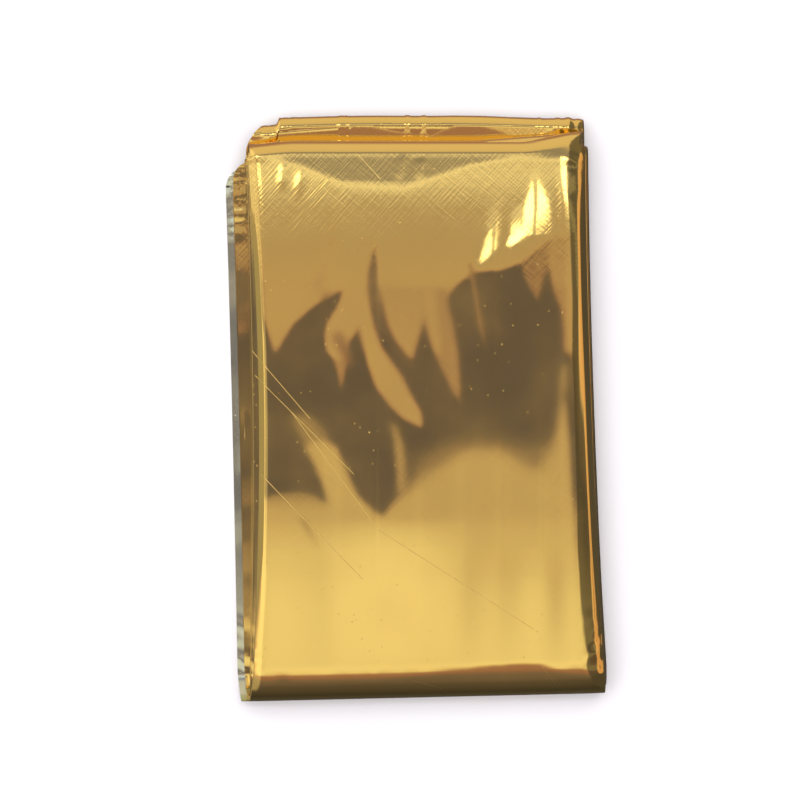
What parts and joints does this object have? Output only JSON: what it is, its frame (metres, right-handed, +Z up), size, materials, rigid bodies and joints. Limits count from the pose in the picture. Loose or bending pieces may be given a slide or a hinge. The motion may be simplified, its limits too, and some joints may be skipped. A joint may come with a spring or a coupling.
{
  "type": "emergency foil blanket",
  "caption": "Emergency blanket of thin metallised film, gold outside and silver inside, folded back and forth into a flat pocket packet.",
  "frame": {"origin": "centre of the packet's bounding box on the surface that it lies on", "axes": "+Y from the packet's foot fold to its head folds, +X to its right seen from the front, +Z up out of its front face"},
  "size_m": [0.0902, 0.1388, 0.0135],
  "materials": {
    "gold_film": "gold-lacquered metallised polyester film, mirror bright with soft creases and fine scratches, silver on its inner side"
  },
  "bodies": {
    "root": {"foil_blanket": "gold_film"}
  },
  "joints": []
}
